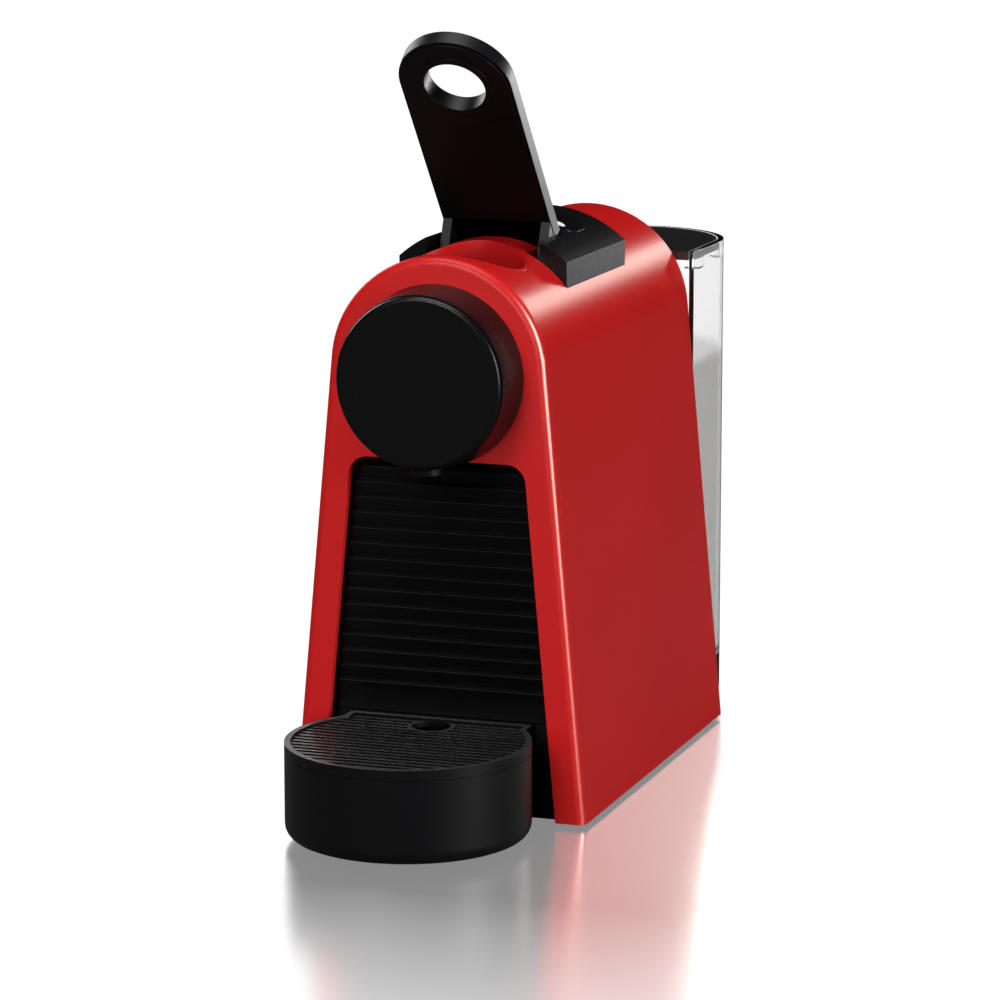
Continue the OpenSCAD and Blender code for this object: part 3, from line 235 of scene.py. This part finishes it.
MATERIALS = {
    "red_shell": lacquered("red_shell", RED),
    "black_satin": moulded("black_satin", BLACK, 0.42, 0.22),
    "black_gloss": moulded("black_gloss", shade(BLACK, 0.9), 0.3, 0.25, grain=2.8, depth=0.005),
    "grey_plastic": moulded("grey_plastic", (0.14, 0.145, 0.155), 0.45, 0.4),
    "white_plastic": moulded("white_plastic", (0.72, 0.72, 0.69), 0.4, 0.45),
    "icon_white": light_window("icon_white"),
    "clear_tank": clear_plastic("clear_tank"),
    "rubber_black": soft("rubber_black", (0.012, 0.012, 0.012), 0.75, 0.15),
    "silicone": soft("silicone", (0.6, 0.59, 0.55), 0.5, 0.1),
    "steel": metal("steel", (0.58, 0.58, 0.59), 0.3),
    "cast_aluminium": metal(
        "cast_aluminium", (0.56, 0.57, 0.58), 0.5, stretch=(1, 1, 1), grain=0.9, depth=0.05),
    "brass_fitting": metal("brass_fitting", (0.72, 0.5, 0.22), 0.28),
    "board_green": circuit_board("board_green"),
}

for node, obj in frame["nodes"].items():
    obj.data.materials.clear()
    obj.data.materials.append(MATERIALS[slot_of[node]])


# ---------- visible pieces with softened edges ----------

# Steepest bends, in degrees, of a flat face, of a smooth surface and of an edge that isn't rounded
FLAT_ANGLE = 0.6
SMOOTH_ANGLE = 34
EDGE_ANGLE = 38

# Distances under which the CAD mesh's corners, its slivers and the rounded mesh's corners are joined
CORNER_GAP = 2e-6
SLIVER = 1e-6
ROUNDED_GAP = 1e-7


def welded(node):
    """The CAD node's faces as one clean mesh: corners joined and flat faces made whole."""
    bm = bmesh.new()
    bm.from_mesh(frame["nodes"][node].data)
    bmesh.ops.remove_doubles(bm, verts=bm.verts, dist=CORNER_GAP)
    bmesh.ops.dissolve_degenerate(bm, edges=bm.edges, dist=SLIVER)
    bmesh.ops.dissolve_limit(
        bm, angle_limit=math.radians(FLAT_ANGLE), verts=bm.verts, edges=bm.edges)
    return bm


def sharp_edges(bm, where):
    """The edges to round, as far as both ends are where they may be."""
    return [
        e for e in bm.edges
        if len(e.link_faces) == 2
        and e.calc_face_angle(0) > math.radians(EDGE_ANGLE)
        and all(where(v.co) for v in e.verts)]


def refine(node, radius, segments=2, where=lambda point: True):
    """A piece that stands for a CAD node: the same faces, with its sharp edges rounded by radius, in mm."""
    bm = welded(node)
    edges = sharp_edges(bm, where)
    if radius and edges:
        bmesh.ops.bevel(
            bm, geom=edges, offset=radius * MM, offset_type="OFFSET", segments=segments,
            profile=0.5, affect="EDGES", clamp_overlap=True)
    bmesh.ops.remove_doubles(bm, verts=bm.verts, dist=ROUNDED_GAP)
    mesh = bpy.data.meshes.new(node + "_skin")
    bm.to_mesh(mesh)
    bm.free()
    mesh.polygons.foreach_set("use_smooth", [True] * len(mesh.polygons))
    mesh.set_sharp_from_angle(angle=math.radians(SMOOTH_ANGLE))
    obj = bpy.data.objects.new(node + "_skin", mesh)
    bpy.context.scene.collection.objects.link(obj)
    mesh.materials.append(MATERIALS[slot_of[node]])
    weighted = obj.modifiers.new("weighted", "WEIGHTED_NORMAL")
    weighted.keep_sharp = True
    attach(obj, body_of_node[node])
    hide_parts(node)
    return obj


# How far the edges of each visible piece are rounded, in mm
EDGES = {
    "body_shell": 0.4, "front_fascia": 0.5, "capsule_chute": 0.6, "rear_panel": 0.4, "base_plate": 0.4,
    "rubber_feet": 0.5, "head_cover_ring": 0.3, "head_cover_cap": 0.25, "coffee_spout": 0.4,
    "top_cover": 0.7, "espresso_button": 0.5, "lungo_button": 0.5, "espresso_icon": 0.1, "lungo_icon": 0.1,
    "drip_tray": 0.5, "drip_grid": 0.3, "capsule_bin": 0.5, "slat_panel": 0.25,
    "water_tank": 0.5, "tank_lid": 0.6, "cord_grommet": 0.4}

skins = {node: refine(node, radius) for node, radius in EDGES.items()}

# The lever's edges are rounded between its toothed sectors, and the teeth stay sharp
gear_low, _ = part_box("idler_gear_right")
between_sectors = gear_low.x - 0.3 * MM
skins["lever"] = refine("lever", 1.0, segments=3, where=lambda point: abs(point.x) < between_sectors)

# A spring and two domes that a moving piece presses down onto their lower end, and that piece's joint
PRESSED = {"pump_spring": "piston_stroke", "espresso_dome": "espresso_press", "lungo_dome": "lungo_press"}
for node, joint in PRESSED.items():
    skins[node] = refine(node, 0)
    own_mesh(skins[node])


# ---------- stage, camera and light ----------

def stage_object(name, mesh, material):
    obj = bpy.data.objects.new(name, mesh)
    bpy.context.scene.collection.objects.link(obj)
    mesh.materials.append(material)
    return obj


def sheet(name, corners, material):
    mesh = bpy.data.meshes.new(name)
    mesh.from_pydata(corners, [], [(0, 1, 2, 3)])
    return stage_object(name, mesh, material)


def level_sheet(name, front, back, height, material):
    """A level sheet as wide as the floor, from front to back along Y."""
    corners = [(-FLOOR_REACH, front, height), (FLOOR_REACH, front, height),
               (FLOOR_REACH, back, height), (-FLOOR_REACH, back, height)]
    return sheet(name, corners, material)


def plain(name, grey, rough=1.0, specular=0.0, glow=0.0):
    """A flat grey with a white glow of its own."""
    s = Shader(name).set(Specular_IOR_Level=specular, Roughness=rough, Emission_Strength=glow)
    s.surface.inputs["Base Color"].default_value = (grey, grey, grey, 1)
    s.surface.inputs["Emission Color"].default_value = (1, 1, 1, 1)
    return s


def seen_by(obj, camera=True, bounced=True, shadow=True):
    """Which rays meet the object: from the camera, bounced off other pieces, or on the way to a light."""
    obj.visible_camera = obj.visible_transmission = camera
    obj.visible_diffuse = obj.visible_glossy = bounced
    obj.visible_shadow = shadow


def lights_only(light, *receivers):
    """The light falls on these objects alone."""
    group = bpy.data.collections.new(light.name + "_receivers")
    for obj in receivers:
        group.objects.link(obj)
    light.light_linking.receiver_collection = group


def misses(light, *objects):
    """The light falls on everything but these objects."""
    lights_only(light, *objects)
    for item in light.light_linking.receiver_collection.collection_objects:
        item.light_linking.link_state = "EXCLUDE"


def shaded_by(light, blocker):
    """Of all objects, this one alone casts a shadow from the light."""
    group = bpy.data.collections.new(light.name + "_blockers")
    group.objects.link(blocker)
    light.light_linking.blocker_collection = group


def passes(light, blocker):
    """The light is not shaded by this object."""
    shaded_by(light, blocker)
    light.light_linking.blocker_collection.collection_objects[0].light_linking.link_state = "EXCLUDE"


# Half the floor's width, and the radius of the dome over it
FLOOR_REACH = 12
DOME_R = 14

# The table top: how far it mirrors and glows at the back, and how much of the mirror turns into
# glow on its way to the front, between two places along Y
MIRROR, GLOW, FADED = 0.79, 0.24, 0.36
FADE_FRONT, FADE_BACK = -0.3, -0.18

# The level at which the machine sees the table, just under its feet, and where its back half starts
BOUNCE_Z = -0.5 * MM
BOUNCE_SPLIT = 0.4
BOUNCE_GREY = 0.12

# The screen behind the machine: its ends along X, its place along Y and its top
SCREEN_LEFT, SCREEN_RIGHT = -0.2, 0.7
SCREEN_Y = 0.35
SCREEN_TOP = 0.205

table = plain("floor", 1, rough=0.2, specular=0.5).set(Metallic=1.0)
place_y = table.along("Y")
mirror = table.range(place_y, MIRROR - FADED, MIRROR, FADE_FRONT, FADE_BACK)
glow = table.range(place_y, GLOW + FADED, GLOW, FADE_FRONT, FADE_BACK)
table.link(mirror, table.surface.inputs["Base Color"])
table.link(glow, table.surface.inputs["Emission Strength"])
floor = level_sheet("floor", -FLOOR_REACH, FLOOR_REACH, 0, table.material)
seen_by(floor, bounced=False, shadow=False)

# A white dome that lights the floor alone, so that the bare table is white
dome_mesh = bpy.data.meshes.new("dome")
dome_bm = bmesh.new()
bmesh.ops.create_uvsphere(dome_bm, u_segments=48, v_segments=24, radius=DOME_R)
dome_bm.to_mesh(dome_mesh)
dome_bm.free()
dome = stage_object("dome", dome_mesh, plain("dome", 0, glow=1.0).material)
seen_by(dome, camera=False, shadow=False)
lights_only(dome, floor)

# What the machine itself sees of the table, in place of the floor: a dark grey in two halves
near = level_sheet("dark_bounce", -FLOOR_REACH, BOUNCE_SPLIT, BOUNCE_Z,
                   plain("dark_bounce", BOUNCE_GREY).material)
far = level_sheet("pale_bounce", BOUNCE_SPLIT, FLOOR_REACH, BOUNCE_Z,
                  plain("pale_bounce", BOUNCE_GREY).material)
for half in (near, far):
    seen_by(half, camera=False)

camera = bpy.data.objects.new("camera", bpy.data.cameras.new("camera"))
camera.data.lens = 145.2
camera.data.sensor_width = 36
camera.location = (0.4727, -1.3930, 0.3779)
camera.rotation_euler = (math.radians(90 - 10.76), 0, math.radians(19.02))
bpy.context.scene.collection.objects.link(camera)
bpy.context.scene.camera = camera


def softbox(name, place, aim, width, height, power, colour=(1, 1, 1)):
    """A rectangular lamp that faces its aim and that the camera doesn't see."""
    light = bpy.data.lights.new(name, "AREA")
    light.shape = "RECTANGLE"
    light.size, light.size_y = width, height
    light.energy = power
    light.color = colour
    obj = bpy.data.objects.new(name, light)
    bpy.context.scene.collection.objects.link(obj)
    obj.location = place
    obj.rotation_euler = (Vector(aim) - Vector(place)).to_track_quat("-Z", "Y").to_euler()
    obj.visible_camera = False
    return obj


MIDDLE = (0, 0, 0.12)
overhead = softbox("overhead", (-0.1, -0.4, 2.2), MIDDLE, 1.4, 1.4, 34)
key_front = softbox("key_front", (-0.5, -2.4, 1.5), MIDDLE, 1.0, 1.0, 34)
side_right = softbox("side_right", (2.4, -0.5, 0.6), MIDDLE, 0.5, 1.2, 44)
back_strip = softbox("back_strip", (0.78, 3.0, 1.0), (0.03, 0, 0.186), 0.5, 0.35, 9, (1, 0.93, 0.84))
low_front = softbox("low_front", (0.1, -2.6, 0.35), MIDDLE, 1.6, 0.5, 22)
rim = softbox("rim", (0.95, 2.9, 0.35), (0, 0, 0.2), 0.9, 0.5, 48)
edge = softbox("edge", (2.0, -0.75, 0.7), MIDDLE, 0.7, 1.6, 480, (1, 0.88, 0.74))
grid_light = softbox("grid_light", (-0.75, 0.85, 0.32), (-0.04, -0.12, 0.035), 0.5, 0.3, 5)
back_fill = softbox("back_fill", (-2.2, 1.9, 1.1), MIDDLE, 1.2, 1.2, 22)

# Four lamps fall on a few pieces alone, one of them for its highlight only; the rest miss the floor
edge.visible_diffuse = False
lights_only(edge, skins["front_fascia"])
lights_only(low_front, *[skins[node] for node in ("body_shell", "front_fascia", "capsule_chute")])
lights_only(rim, *[skins[node] for node in ("lever", "top_cover", "drip_tray", "drip_grid", "tank_lid")])
lights_only(grid_light, skins["drip_grid"])
shaded_by(grid_light, skins["drip_grid"])
for light in (overhead, key_front, side_right, back_strip, back_fill):
    misses(light, floor)

# A low screen behind the machine keeps the back strip off its lower sides; the other lamps pass it
screen_corners = [
    (SCREEN_LEFT, SCREEN_Y, 0), (SCREEN_RIGHT, SCREEN_Y, 0),
    (SCREEN_RIGHT, SCREEN_Y, SCREEN_TOP), (SCREEN_LEFT, SCREEN_Y, SCREEN_TOP)]
screen = sheet("screen", screen_corners, plain("screen", 0).material)
seen_by(screen, camera=False, bounced=False)
for light in (overhead, key_front, side_right, low_front, rim, edge, back_fill, dome):
    passes(light, screen)

world = bpy.data.worlds.new("studio")
world.use_nodes = True
background = world.node_tree.nodes["Background"]
background.inputs["Color"].default_value = (1, 1, 1, 1)
background.inputs["Strength"].default_value = 0.06
bpy.context.scene.world = world
bpy.context.scene.view_settings.view_transform = "Standard"
